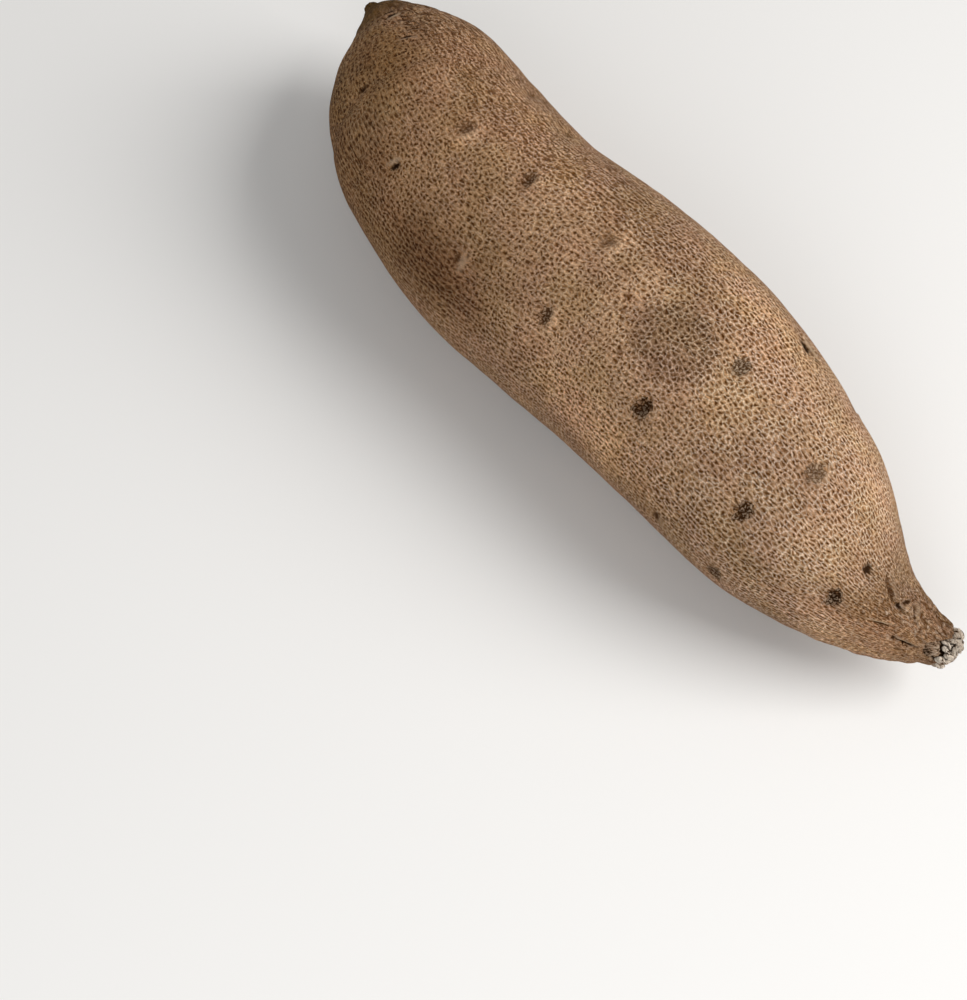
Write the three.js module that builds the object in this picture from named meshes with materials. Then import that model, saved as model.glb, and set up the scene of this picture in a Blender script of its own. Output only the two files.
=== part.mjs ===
// A whole white-fleshed sweet potato lying on its belly, grown as one piece.
// Millimetres, +Z up. X runs from the blunt crown to the thin tail, and the belly lies on z = 0.
import * as THREE from "three";

// The tuber's spine and sections, from the crown nub to the tip of the tail stub:
// distance along, aside (+Y is the far side), height of the middle, half width, half height.
const STATIONS = [
  [0, 7.6, 27.8, 0, 0],
  [0.8, 7.5, 27.8, 1.4, 1.4],
  [3, 7.3, 27.7, 3, 3],
  [7.5, 6.8, 27.4, 8.3, 8.2],
  [14.5, 5.1, 26.8, 14.2, 13.6],
  [28, 1.3, 26.4, 21.9, 21],
  [42, -3.4, 26.6, 25.5, 24.8],
  [55, -7.2, 27.2, 27.5, 26.5],
  [80, -9.6, 27, 29.3, 27],
  [103, -7.2, 27.2, 30, 27.7],
  [125, -5.5, 27, 29.4, 27.3],
  [146, -5.9, 26.7, 28, 26.3],
  [166.5, -7.6, 25.6, 25.2, 24],
  [180.5, -8.3, 24, 22.5, 21.3],
  [194, -8.2, 21.2, 17, 16.2],
  [203.1, -6.9, 18.9, 12.3, 11.7],
  [210.8, -4.3, 17, 8.8, 8.5],
  [216, -1.9, 16.1, 6.1, 5.9],
  [218.8, -0.7, 15.7, 5.1, 5],
  [221.5, 0.3, 15.4, 3.6, 3.7],
  [222.8, 0.6, 15.3, 0, 0],
];
const REST_DEPTH = 0.5; // how far the belly is pressed flat where it lies on the table

// Slow swellings of the skin: height, waves round the section, length of one wave along, phase.
const SWELLS = [
  [0.3, 2, 190, 1.1],
  [0.24, 3, -145, 0.6],
  [0.16, 5, 105, 2.3],
];
const SWELL_FULL_RADIUS = 24; // sections thinner than this swell less
const BELLY_CALM = [0.7, 0.95]; // as the skin turns down, the swellings fade between these sines

// Scars where side roots left the skin: distance along, degrees round the section (0 far side,
// 90 top, 180 near side, 270 belly), turn of the crease from straight across, its half length,
// its half width, its depth, and the height of the lip on its tail side.
const SCARS = [
  [40, 133, 0, 1.6, 0.7, 0.6, 0.25],
  [61.4, 135, 15, 1.4, 0.8, 1, 0.35],
  [86.2, 141, 0, 2.4, 0.9, 0.3, 0.25],
  [111.8, 135, 10, 2, 0.7, 0.5, 0.25],
  [145.3, 136, 0, 2.5, 1.2, 0.5, 0.2],
  [174.9, 133, -10, 2.3, 1, 0.6, 0.2],
  [196.5, 134, 20, 1.8, 0.9, 0.7, 0.25],
  [16, 96, 0, 1.8, 0.5, 0.5, 0.3],
  [32, 96, -10, 1.8, 0.5, 0.5, 0.3],
  [65.9, 96, -6, 2.6, 1, 0.6, 0.3],
  [86.8, 92, 8, 2, 0.8, 0.9, 0.25],
  [111.2, 92, 0, 2.6, 1, 0.5, 0.3],
  [152.1, 88, 0, 2, 1.1, 0.4, 0.2],
  [177.4, 90, 0, 2, 0.9, 0.3, 0.2],
  [197.3, 98, 30, 1.1, 1, 1.1, 0.2],
  [59.8, 46, 0, 2.2, 0.8, 0.7, 0.4],
  [76.6, 46, 0, 2.2, 0.8, 0.7, 0.3],
  [152.1, 42, 5, 2, 0.8, 0.8, 0.3],
  [168, 28, 0, 1.8, 0.8, 0.6, 0.3],
  [162.1, 179, 0, 1.8, 0.8, 0.5, 0.25],
  [178.4, 180, 0, 2, 0.9, 0.6, 0.3],
  [203.4, 92, 60, 3, 0.6, 0.8, 0.25],
  [206.6, 100, 10, 1, 0.9, 0.9, 0.2],
  [208.6, 85, 0, 1.2, 0.6, 0.6, 0.3],
  [210.8, 90, 0, 1, 0.6, 0.5, 0.3],
  [211.2, 144, 84, 3.4, 0.45, 0.4, 0.25],
];
const SCAR_REACH = 6; // half lengths from its middle, past which a scar does nothing
const LIP_AWAY = 1.8; // from crease to lip, in the crease's half widths
const LIP_WIDTH = 1.2; // in the crease's half widths
const LIP_LENGTH = 0.85; // in the crease's half lengths
const BOWL_REACH = 2.2; // the shallow bowl round a scar, in half lengths
const BOWL_DEPTH = 0.4; // in the crease's depths

// The sides that the viewer can't see carry the same scars in rows, drawn by a seeded rule.
const BELLY_ROW = 269; // degrees round the section
const HIDDEN_ROWS = [224, BELLY_ROW, 314, 359];
const BELLY_CLEAR = [62, 154]; // the belly row leaves the resting spot bare
const ROW_START = [29, 42];
const ROW_END = 200;
const ROW_GAP = [20, 35];
const ROW_STRAY = 4; // degrees that a scar lies off its row
const TURN_STRAY = 12; // degrees that its crease turns
const HIDDEN_SIZE = [0.7, 1.1];
const HIDDEN_SCAR = [2.5, 1, 0.75, 0.45]; // half length, half width, depth and lip of one of size 1
const SEED = 4821;

// The torn corky stub that ends the tail: cracks run out from its middle and down its sides.
const STUB_START = 216.6;
const STUB_FULL = 218; // where the cracks have their full depth
const STUB_CRACKS = [[24, 1.1], [88, 0.8], [151, 1.2], [223, 0.9], [300, 1.1]]; // degrees round it, depth
const STUB_LOBES = 3;
const STUB_LOBE_PHASE = 1;
const STUB_LOBE_HEIGHT = 0.3;
const STUB_LOBE_RADIUS = 3; // nearer the middle the lobes are lower
const CRACK_HALF_WIDTH = 0.55;
const CRACK_WANDER = 0.2; // radians that a crack strays from side to side
const CRACK_WAVE = 2.1; // radians of that wave for each mm along the stub
const STUB_RING_DEPTH = 0.45;
const STUB_RING_HALF_WIDTH = 0.7;

// Triangle edges: coarse on plain skin, fine at the scars, the nub and the stub.
const FINE_EDGE = 1.6;
const COARSE_EDGE = 8;
const FINE_GROWTH = 0.9; // how much longer an edge may be for each mm away from a scar
const NUB_REACH = 3;
const STUB_REACH = 6.5;
const START_RINGS = 20;
const START_SIDES = 16;

const SKIN = { color: 0xa07a5c, roughness: 0.8, metalness: 0 };

const LAST = STATIONS.length - 1;
const radians = THREE.MathUtils.degToRad;
const bell = (distance, halfWidth) => Math.exp(-((distance / halfWidth) ** 2));
const T_STEP = 0.01; // part of a station, for directions along the spine
const SEARCH_STEPS = 40;
const DRAW_FACTOR = 16807;
const DRAW_RANGE = 2147483647;

// A smooth curve through the stations, at a station number that may fall between two of them
function station(t) {
  const i = Math.min(Math.floor(t), LAST - 1);
  const f = t - i;
  const before = STATIONS[Math.max(i - 1, 0)];
  const after = STATIONS[Math.min(i + 2, LAST)];
  return STATIONS[i].map((p1, k) => {
    const p0 = before[k];
    const p2 = STATIONS[i + 1][k];
    const p3 = after[k];
    const square = 2 * p0 - 5 * p1 + 4 * p2 - p3;
    const cube = 3 * p1 - p0 - 3 * p2 + p3;
    return 0.5 * (2 * p1 + (p2 - p0) * f + square * f ** 2 + cube * f ** 3);
  });
}

// The station number at a distance along the tuber
function stationAt(along) {
  let low = 0;
  let high = LAST;
  for (let step = 0; step < SEARCH_STEPS; step++) {
    const middle = (low + high) / 2;
    if (station(middle)[0] < along) low = middle;
    else high = middle;
  }
  return low;
}

// The spine's direction and the section's sideways and upward directions
function frameAt(t) {
  const ahead = station(Math.min(t + T_STEP, LAST));
  const behind = station(Math.max(t - T_STEP, 0));
  const forward = new THREE.Vector3(...ahead.slice(0, 3)).sub(new THREE.Vector3(...behind.slice(0, 3)));
  forward.normalize();
  const side = new THREE.Vector3(-forward.y, forward.x, 0).normalize();
  const up = new THREE.Vector3().crossVectors(forward, side);
  return { forward, side, up };
}

// A point of the plain skin, with no swelling or scar
function plainPoint(t, angle) {
  const [x, y, z, halfWidth, halfHeight] = station(t);
  const { side, up } = frameAt(t);
  return new THREE.Vector3(x, y, z)
    .addScaledVector(side, halfWidth * Math.cos(angle))
    .addScaledVector(up, halfHeight * Math.sin(angle));
}

// The outward direction of the plain skin, which at the two tips is the spine's own
function outward(t, angle) {
  if (t <= 0) return frameAt(0).forward.negate();
  if (t >= LAST) return frameAt(LAST).forward;
  const inside = Math.min(Math.max(t, T_STEP), LAST - T_STEP);
  const along = plainPoint(inside + T_STEP, angle).sub(plainPoint(inside - T_STEP, angle));
  const round = plainPoint(inside, angle + T_STEP).sub(plainPoint(inside, angle - T_STEP));
  return new THREE.Vector3().crossVectors(round, along).normalize();
}

// Numbers from 0 to 1 that come out the same on every run
function seededDraw(seed) {
  let state = seed;
  return () => {
    state = (state * DRAW_FACTOR) % DRAW_RANGE;
    return state / DRAW_RANGE;
  };
}

function hiddenScars() {
  const draw = seededDraw(SEED);
  const between = (low, high) => low + (high - low) * draw();
  const hidden = [];
  for (const row of HIDDEN_ROWS) {
    let along = between(...ROW_START);
    while (along < ROW_END) {
      const size = between(...HIDDEN_SIZE);
      const round = row + between(-ROW_STRAY, ROW_STRAY);
      const turn = between(-TURN_STRAY, TURN_STRAY);
      const underneath = row === BELLY_ROW && along > BELLY_CLEAR[0] && along < BELLY_CLEAR[1];
      if (!underneath) hidden.push([along, round, turn, ...HIDDEN_SCAR.map((measure) => measure * size)]);
      along += between(...ROW_GAP);
    }
  }
  return hidden;
}

// Each scar's place on the skin, with the directions along and across its crease
const scars = [...SCARS, ...hiddenScars()].map(([along, round, turn, halfLength, halfWidth, depth, lip]) => {
  const t = stationAt(along);
  const angle = radians(round);
  const normal = outward(t, angle);
  const { forward } = frameAt(t);
  const tailward = forward.clone().addScaledVector(normal, -forward.dot(normal)).normalize();
  const across = new THREE.Vector3().crossVectors(normal, tailward).applyAxisAngle(normal, radians(turn));
  tailward.applyAxisAngle(normal, radians(turn));
  return { place: plainPoint(t, angle), tailward, across, halfLength, halfWidth, depth, lip };
});

// One scar: a crease, a lip on its tail side, and a shallow bowl round both
function scarRelief(scar, point) {
  const offset = point.clone().sub(scar.place);
  const distance = offset.length();
  if (distance > SCAR_REACH * scar.halfLength) return 0;
  const u = offset.dot(scar.across);
  const v = offset.dot(scar.tailward);
  const crease = scar.depth * bell(u, scar.halfLength) * bell(v, scar.halfWidth);
  const pastLip = v - LIP_AWAY * scar.halfWidth;
  const lip = scar.lip * bell(u, LIP_LENGTH * scar.halfLength) * bell(pastLip, LIP_WIDTH * scar.halfWidth);
  const bowl = BOWL_DEPTH * scar.depth * bell(distance, BOWL_REACH * scar.halfLength);
  return lip - crease - bowl;
}

function swell(along, angle, radius) {
  const calm = Math.min(radius / SWELL_FULL_RADIUS, 1) ** 2;
  const belly = THREE.MathUtils.smoothstep(-Math.sin(angle), ...BELLY_CALM);
  let height = 0;
  for (const [size, waves, length, phase] of SWELLS) {
    height += size * Math.sin(waves * angle + (2 * Math.PI * along) / length + phase);
  }
  return height * calm * (1 - belly);
}

// The stub's lobes and cracks, and the ring where its cork meets the skin
function stubRelief(along, angle, radius) {
  const ring = STUB_RING_DEPTH * bell(along - STUB_START, STUB_RING_HALF_WIDTH);
  const onStub = THREE.MathUtils.smoothstep(along, STUB_START, STUB_FULL);
  const wave = Math.sin(STUB_LOBES * angle + STUB_LOBE_PHASE);
  const lobe = STUB_LOBE_HEIGHT * wave * Math.min(radius / STUB_LOBE_RADIUS, 1);
  let crack = 0;
  for (const [place, depth] of STUB_CRACKS) {
    const turn = angle - radians(place) - CRACK_WANDER * Math.sin(along * CRACK_WAVE + place);
    if (Math.cos(turn) > 0) crack = Math.max(crack, depth * bell(radius * Math.sin(turn), CRACK_HALF_WIDTH));
  }
  return (lobe - crack) * onStub - ring;
}

// A point of the finished skin
function skinPoint(t, angle) {
  const [along, , , halfWidth] = station(t);
  const point = plainPoint(t, angle);
  let height = swell(along, angle, halfWidth) + stubRelief(along, angle, halfWidth);
  for (const scar of scars) height += scarRelief(scar, point);
  return point.addScaledVector(outward(t, angle), height);
}

// How long a triangle edge may be at a point of the skin
function edgeLimit(point) {
  let room = COARSE_EDGE;
  const near = (place, radius) => {
    const away = Math.max(point.distanceTo(place) - radius, 0);
    room = Math.min(room, FINE_EDGE + FINE_GROWTH * away);
  };
  for (const scar of scars) near(scar.place, scar.halfLength);
  near(plainPoint(0, 0), NUB_REACH);
  near(plainPoint(LAST, 0), STUB_REACH);
  return room;
}

// The skin as triangles: rings of corners between the two tips, then edges halved until each is
// short enough. An edge is halved or not by its own ends alone, so both its triangles agree.
function skinTriangles() {
  const corners = [];
  const addCorner = (t, angle) => {
    const tip = t <= 0 || t >= LAST;
    corners.push({ t, angle, tip, point: skinPoint(t, angle) });
    return corners.length - 1;
  };
  const crown = addCorner(0, 0);
  const rings = [];
  for (let ring = 1; ring < START_RINGS; ring++) {
    const t = (LAST * ring) / START_RINGS;
    const sides = Array.from({ length: START_SIDES }, (_, side) => (2 * Math.PI * side) / START_SIDES);
    rings.push(sides.map((angle) => addCorner(t, angle)));
  }
  const tail = addCorner(LAST, 0);
  let triangles = [];
  for (let side = 0; side < START_SIDES; side++) {
    const next = (side + 1) % START_SIDES;
    triangles.push([crown, rings[0][next], rings[0][side]]);
    for (let ring = 0; ring + 1 < rings.length; ring++) {
      const [a, b] = [rings[ring][side], rings[ring][next]];
      const [c, d] = [rings[ring + 1][side], rings[ring + 1][next]];
      triangles.push([a, b, d], [a, d, c]);
    }
    triangles.push([tail, rings.at(-1)[side], rings.at(-1)[next]]);
  }

  const halfway = (one, other) => {
    const t = (one.t + other.t) / 2;
    if (one.tip) return [t, other.angle];
    if (other.tip) return [t, one.angle];
    let turn = other.angle - one.angle;
    turn -= 2 * Math.PI * Math.round(turn / (2 * Math.PI));
    return [t, one.angle + turn / 2];
  };
  let split = true;
  while (split) {
    split = false;
    const middles = new Map();
    const middleOf = (a, b) => {
      const key = `${Math.min(a, b)} ${Math.max(a, b)}`;
      if (middles.has(key)) return middles.get(key);
      const [one, other] = [corners[Math.min(a, b)], corners[Math.max(a, b)]];
      const [t, angle] = halfway(one, other);
      const long = one.point.distanceTo(other.point) > edgeLimit(plainPoint(t, angle));
      const middle = long ? addCorner(t, angle) : null;
      middles.set(key, middle);
      return middle;
    };
    const finer = [];
    for (const [a, b, c] of triangles) {
      const [ab, bc, ca] = [middleOf(a, b), middleOf(b, c), middleOf(c, a)];
      if (ab !== null || bc !== null || ca !== null) split = true;
      finer.push(...splitTriangle([a, b, c], [ab, bc, ca], corners));
    }
    triangles = finer;
  }
  return { corners, triangles };
}

// One triangle cut at the middles that its edges have
function splitTriangle([a, b, c], [ab, bc, ca], corners) {
  const count = [ab, bc, ca].filter((middle) => middle !== null).length;
  if (count === 0) return [[a, b, c]];
  if (count === 3) return [[a, ab, ca], [ab, b, bc], [ca, bc, c], [ab, bc, ca]];
  if (count === 1) {
    if (ab !== null) return [[a, ab, c], [ab, b, c]];
    if (bc !== null) return [[b, bc, a], [bc, c, a]];
    return [[c, ca, b], [ca, a, b]];
  }
  // Two middles: turn the triangle so that its whole edge comes first
  if (ca === null) return splitCorner(c, a, b, bc, ab, corners);
  if (ab === null) return splitCorner(a, b, c, ca, bc, corners);
  return splitCorner(b, c, a, ab, ca, corners);
}

// A triangle with the whole edge from first to second, and middles beside its third corner
function splitCorner(first, second, third, firstMiddle, secondMiddle, corners) {
  const length = (i, j) => corners[i].point.distanceTo(corners[j].point);
  const cap = [firstMiddle, secondMiddle, third];
  if (length(first, secondMiddle) < length(second, firstMiddle)) {
    return [cap, [first, second, secondMiddle], [first, secondMiddle, firstMiddle]];
  }
  return [cap, [first, second, firstMiddle], [second, secondMiddle, firstMiddle]];
}

function tuberGeometry() {
  const { corners, triangles } = skinTriangles();
  const geometry = new THREE.BufferGeometry();
  const positions = corners.flatMap((corner) => corner.point.toArray());
  geometry.setAttribute("position", new THREE.Float32BufferAttribute(positions, 3));
  geometry.setIndex(triangles.flat());
  return geometry;
}

// The middle of the tuber's plan goes to x = y = 0, and what reaches below the table is pressed flat
function layDown(geometry) {
  geometry.computeBoundingBox();
  const { min, max } = geometry.boundingBox;
  geometry.translate(-(min.x + max.x) / 2, -(min.y + max.y) / 2, -min.z - REST_DEPTH);
  const position = geometry.getAttribute("position");
  for (let i = 0; i < position.count; i++) {
    position.setZ(i, Math.max(position.getZ(i), 0));
  }
  geometry.computeVertexNormals();
  return geometry;
}

const tuber = new THREE.Mesh(layDown(tuberGeometry()), new THREE.MeshStandardMaterial(SKIN));
tuber.name = "sweet_potato";

const model = new THREE.Group();
model.add(tuber);
export default model;
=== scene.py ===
import math

import bpy
import numpy as np
from mathutils import Matrix, Vector, noise


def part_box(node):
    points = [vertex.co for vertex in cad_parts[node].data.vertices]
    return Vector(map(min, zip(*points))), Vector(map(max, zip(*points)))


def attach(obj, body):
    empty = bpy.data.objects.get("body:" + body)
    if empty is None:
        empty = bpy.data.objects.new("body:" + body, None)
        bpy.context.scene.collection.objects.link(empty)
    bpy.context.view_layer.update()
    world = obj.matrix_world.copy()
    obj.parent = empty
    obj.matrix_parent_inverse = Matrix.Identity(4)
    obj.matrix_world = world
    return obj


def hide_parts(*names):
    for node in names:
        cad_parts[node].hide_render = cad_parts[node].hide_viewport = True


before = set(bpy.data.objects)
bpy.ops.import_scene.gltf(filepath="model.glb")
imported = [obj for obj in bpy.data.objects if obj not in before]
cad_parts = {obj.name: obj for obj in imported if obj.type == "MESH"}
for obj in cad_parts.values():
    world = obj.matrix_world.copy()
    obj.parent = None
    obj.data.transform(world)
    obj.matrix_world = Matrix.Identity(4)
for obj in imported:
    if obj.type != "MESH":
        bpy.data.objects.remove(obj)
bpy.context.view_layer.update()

# A whole white-fleshed sweet potato lying on its belly. Shapes are worked out in millimetres and
# turned into metres when the meshes are made.
NODE = "sweet_potato"
MM = 0.001

# The tuber's spine and sections, from the crown nub to the tip of the tail stub:
# distance along, aside (+Y is the far side), height of the middle, half width, half height.
STATIONS = np.array([
    [0, 7.6, 27.8, 0, 0],
    [0.8, 7.5, 27.8, 1.4, 1.4],
    [3, 7.3, 27.7, 3, 3],
    [7.5, 6.8, 27.4, 8.3, 8.2],
    [14.5, 5.1, 26.8, 14.2, 13.6],
    [28, 1.3, 26.4, 21.9, 21],
    [42, -3.4, 26.6, 25.5, 24.8],
    [55, -7.2, 27.2, 27.5, 26.5],
    [80, -9.6, 27, 29.3, 27],
    [103, -7.2, 27.2, 30, 27.7],
    [125, -5.5, 27, 29.4, 27.3],
    [146, -5.9, 26.7, 28, 26.3],
    [166.5, -7.6, 25.6, 25.2, 24],
    [180.5, -8.3, 24, 22.5, 21.3],
    [194, -8.2, 21.2, 17, 16.2],
    [203.1, -6.9, 18.9, 12.3, 11.7],
    [210.8, -4.3, 17, 8.8, 8.5],
    [216, -1.9, 16.1, 6.1, 5.9],
    [218.8, -0.7, 15.7, 5.1, 5],
    [221.5, 0.3, 15.4, 3.6, 3.7],
    [222.8, 0.6, 15.3, 0, 0],
])
LAST = len(STATIONS) - 1
REST_DEPTH = 0.5  # how far the belly is pressed flat where it lies on the table

# Slow swellings of the skin: height, waves round the section, length of one wave along, phase.
SWELLS = [[0.3, 2, 190, 1.1], [0.24, 3, -145, 0.6], [0.16, 5, 105, 2.3]]
SWELL_FULL_RADIUS = 24  # sections thinner than this swell less
BELLY_CALM = (0.7, 0.95)  # as the skin turns down, the swellings fade between these sines

# The flatter stretch of the crown's near shoulder: distance along, degrees round, half length and
# half width in mm, share of the depth, and that depth in mm.
SHOULDER = [[12, 146, 6.3, 12, 1]]
SHOULDER_DEPTH = 1.3

# Scars where side roots left the skin: distance along, degrees round the section (0 far side,
# 90 top, 180 near side, 270 belly), turn of the crease from straight across, its half length,
# its half width, its depth, and the height of the lip on its tail side. Then how they look:
# radius of the torn fibrous mark, how black that is, how grey, and how pale the lip.
SCARS = [
    [40, 133, 0, 2.1, 1.4, 0.6, 0.2, 0.5, 0.7, 0, 0.2],
    [61.3, 135.3, 150, 2.2, 1, 0.8, 0.3, 0.6, 1, 0, 0.8],
    [86.2, 141, 0, 2.4, 1, 0.45, 0.3, 1.3, 0.45, 0, 0.8],
    [111.8, 135, 10, 2, 0.8, 0.5, 0.25, 2.5, 0.68, 0, 0.6],
    [145.3, 136, 0, 2.6, 1.1, 0.5, 0.2, 2.9, 0.84, 0, 0.2],
    [174.9, 133, -10, 2.3, 1, 0.6, 0.2, 2.8, 0.8, 0, 0.2],
    [196.5, 134, 20, 1.8, 0.9, 0.7, 0.25, 2.3, 0.88, 0.4, 0.3],
    [12.4, 95, -14, 2.6, 2, 0.4, 0.3, 0.5, 1, 0, 1],
    [16, 95, 28, 3, 1.2, 0.4, 0.3, 0.5, 0.9, 0, 1],
    [30.4, 96, -8, 2.1, 1.1, 0.5, 0.3, 0.5, 0.8, 0, 1],
    [65.9, 96, -6, 2.6, 1.1, 0.5, 0.3, 2.5, 0.5, 0, 0.6],
    [86.8, 92, 8, 2.6, 1, 0.7, 0.25, 2.6, 0.58, 0, 0.3],
    [111.2, 92, 0, 2.6, 1, 0.45, 0.3, 2.3, 0.42, 0, 0.5],
    [152.1, 88, 0, 2, 1.1, 0.3, 0.2, 2.8, 0.6, 1, 0.2],
    [177.4, 90, 0, 2, 0.9, 0.25, 0.2, 2.9, 0.5, 0.5, 0.5],
    [197.3, 97, 30, 2.2, 1.8, 0.9, 0.2, 0.5, 0.85, 0, 0.2],
    [59.8, 46, 0, 2.2, 0.8, 0.7, 0.4, 2, 0.5, 0, 0.7],
    [76.6, 46, 0, 2.2, 0.8, 0.7, 0.3, 2, 0.5, 0, 0.5],
    [152.1, 42, 75, 3.6, 1.3, 0.8, 0.3, 0.5, 1, 0, 0.6],
    [168, 28, 0, 1.8, 0.8, 0.6, 0.3, 2, 0.5, 0, 0.3],
    [162.1, 179, 0, 1.8, 0.8, 0.5, 0.25, 1.8, 0.6, 0.2, 0.4],
    [178.4, 180, 0, 2, 0.9, 0.5, 0.3, 2.8, 0.75, 0, 0.4],
    [203.6, 92.5, 62, 5.4, 1, 0.8, 0.25, 0.5, 0.5, 0, 0.3],
    [207, 97.5, 60, 1.4, 1, 0.9, 0.2, 0.6, 0.9, 0, 0.5],
    [208, 86, -30, 2, 0.8, 0.5, 0.3, 0.5, 0.75, 0, 0.25],
    [210, 86, 40, 1.6, 0.7, 0.4, 0.3, 0.5, 0.45, 0, 0.5],
    [211, 97, 20, 1.3, 0.5, 0.4, 0.3, 0.4, 0.6, 0, 0.4],
    [211.6, 143, 86, 3.8, 0.4, 0.4, 0.25, 0.4, 0.9, 0, 0.9],
    [209.2, 143, 20, 0.8, 0.7, 0.4, 0.3, 0.5, 0.6, 0, 0.9],
    [205.6, 131, 108, 4, 0.35, 0.3, 0.25, 0.4, 0.7, 0, 0.9],
]
# The first of the short creases that follow one another beside the crown, as in the rows above
CROWN_CREASE = [18.6, 86, -38, 2, 0.65, 0.35, 0.2, 0.3, 0.65, 0, 0.4]
CROWN_CREASES = 6
CROWN_CREASE_STEP = 1.7
CROWN_CREASE_CHANGE = (3, 6, 0.5)  # how they differ: degrees round, degrees of turn, half length
SCAR_REACH = 6  # half lengths from its middle, past which a scar does nothing
LIP_AWAY = 1.8  # from crease to lip, in the crease's half widths
LIP_WIDTH = 1.2  # in the crease's half widths
LIP_LENGTH = 0.85  # in the crease's half lengths
BOWL_REACH = 2.2  # the shallow bowl round a scar, in half lengths
BOWL_DEPTH = 0.6  # in the crease's depths

# The other sides carry the same scars in rows, drawn by a seeded rule.
BELLY_ROW = 269  # degrees round the section
HIDDEN_ROWS = [224, BELLY_ROW, 314, 359]
BELLY_CLEAR = (62, 154)  # the belly row leaves the resting spot bare
ROW_START = (29, 42)
ROW_END = 200
ROW_GAP = (20, 35)
ROW_STRAY = 4  # degrees that a scar lies off its row
TURN_STRAY = 12  # degrees that its crease turns
HIDDEN_SIZE = (0.7, 1.1)
HIDDEN_SCAR = [2.5, 1, 0.75, 0.45]  # half length, half width, depth and lip of one of size 1
HIDDEN_LOOKS = [[2.4, 0.9, 0, 0.4], [2, 0.5, 0, 0.7], [2.3, 0.4, 0.6, 0.4], [1.6, 0.3, 0, 0.9]]
SEED = 4821
DRAW_FACTOR = 16807
DRAW_RANGE = 2147483647

# Small round brown spots with no relief: distance along, degrees round, radius, how dark.
SPOTS = [
    [124.6, 105.5, 0.74, 1],
    [126, 110.5, 0.72, 0.95],
    [123.2, 111.5, 0.45, 0.6],
    [127.7, 114, 0.5, 0.8],
    [133, 124.5, 0.8, 0.6],
    [167.5, 116, 1.1, 0.35],
    [199.7, 80, 0.5, 0.6],
    [201.5, 76, 0.4, 0.5],
    [212, 88, 0.6, 0.8],
    [96, 250, 0.6, 0.8],
    [131, 215, 0.7, 0.7],
    [64, 10, 0.6, 0.7],
    [142, 340, 0.5, 0.8],
]

# Stained patches: distance along, degrees round, half length, half width in mm, how dark.
STAINS = [
    [139.5, 105, 12.5, 10, 0.95],
    [116, 101, 9, 8, 0.4],
    [196, 140, 9, 7, 0.25],
    [72, 118, 14, 10, 0.25],
    [110, 230, 22, 14, 0.5],
    [60, 300, 16, 12, 0.45],
    [165, 290, 18, 12, 0.4],
    [170, 10, 12, 9, 0.35],
]

# Broad darker, browner stretches, in the same way. Those round the crown are the skin's own browner tone;
# those along the near flank, on the lower sides and belly, and on the dark sides of the scars' dimples
# are painted shade.
DARKER_SKIN_AND_PAINTED_SHADE = [
    [2, 112, 13, 24, 0.6],
    [24, 127, 10, 10, 0.15],
    [34, 112, 16, 12, 0.55],
    [38, 122, 48, 38, 0.42],
    [38, 102, 10, 8, 0.3],
    [78, 113, 10, 10, 0.2],
    [58, 172, 44, 22, 0.46],
    [50, 170, 12, 8, 0.15],
    [84, 152, 15, 11, 0.95],
    [99, 127, 10, 10, 0.3],
    [156, 60, 10, 8, 0.1],
    [160, 128, 14, 10, 0.15],
    [180, 156, 10, 7, 0.15],
    [160, 168, 12, 8, 0.25],
    [192, 88, 8, 6, 0.2],
    [205, 103, 6, 5, 0.5],
    [205, 135, 10, 6, 0.72],
    [211, 160, 8, 5, 0.35],
    [217, 100, 4, 6, 0.35],
    [57.5, 138, 5, 3, 0.35],
    [62.5, 94, 3, 5, 0.35],
    [84, 143, 2.5, 4, 0.3],
    [84.2, 93, 2.5, 4, 0.25],
    [108.3, 93, 3, 5, 0.32],
    [120, 350, 130, 14, 0.4],
    [150, 270, 120, 40, 0.45],
    [40, 250, 60, 40, 0.6],
]
# Broad paler stretches, in the same way. Some are the skin's own paler tone; those on the lower near
# flank and the lower rim by the tail are painted bounced light, those along the far rim of the tail half
# a painted sheen, and those on the lit sides of the scars' dimples painted light.
PALER_SKIN_AND_PAINTED_LIGHT = [
    [44, 134, 3, 3, 0.35],
    [63.8, 130, 2.5, 5, 0.22],
    [68.3, 97, 2.4, 5, 0.35],
    [87.8, 141, 2, 4, 0.35],
    [89.6, 90, 2, 3.5, 0.25],
    [113.2, 90, 1.8, 5, 0.3],
    [114.5, 134, 1.8, 3, 0.3],
    [24, 128, 8, 8, 0.22],
    [69, 150, 7, 8, 0.12],
    [28, 80, 12, 8, 0.25],
    [50, 72, 18, 12, 0.22],
    [80, 70, 18, 12, 0.26],
    [96, 78, 12, 8, 0.15],
    [150, 164, 16, 8, 0.12],
    [121, 147, 12, 8, 0.15],
    [138, 162, 18, 9, 0.6],
    [146, 62, 12, 10, 0.3],
    [182, 62, 18, 12, 0.15],
    [187, 70, 8, 8, 0.1],
    [190, 163, 8, 6, 0.12],
    [204, 172, 11, 9, 0.95],
    [203, 162, 10, 6, 0.08],
    [212, 140, 8, 7, 0.22],
    [213, 84, 6, 6, 0.35],
]
# Where small pale flakes of skin crowd on the tail, in the same way.
FLAKY = [
    [208.6, 102, 2.6, 2.2, 1],
    [212, 92, 5, 3.4, 0.8],
    [209.8, 144, 3, 1.6, 0.9],
    [214, 116, 4, 4, 0.4],
    [216, 150, 3, 3, 0.6],
]

# Where the tail is smooth, with few wrinkles, in the same way.
CALM = [[210, 163, 9, 6, 0.65]]

# The torn corky stub that ends the tail. Where its cork starts: degrees round, distances along.
STUB_EDGE = [
    [0, 50, 85, 104, 118, 128, 147, 158, 166, 186, 220, 290, 360],
    [218.6, 219.4, 219.9, 218.6, 217.2, 216, 215.6, 216.4, 218.6, 220, 218.6, 217.6, 218.6],
]
EDGE_DEPTH = 0.45  # of the ring round that edge
EDGE_HALF_WIDTH = 0.45
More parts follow.
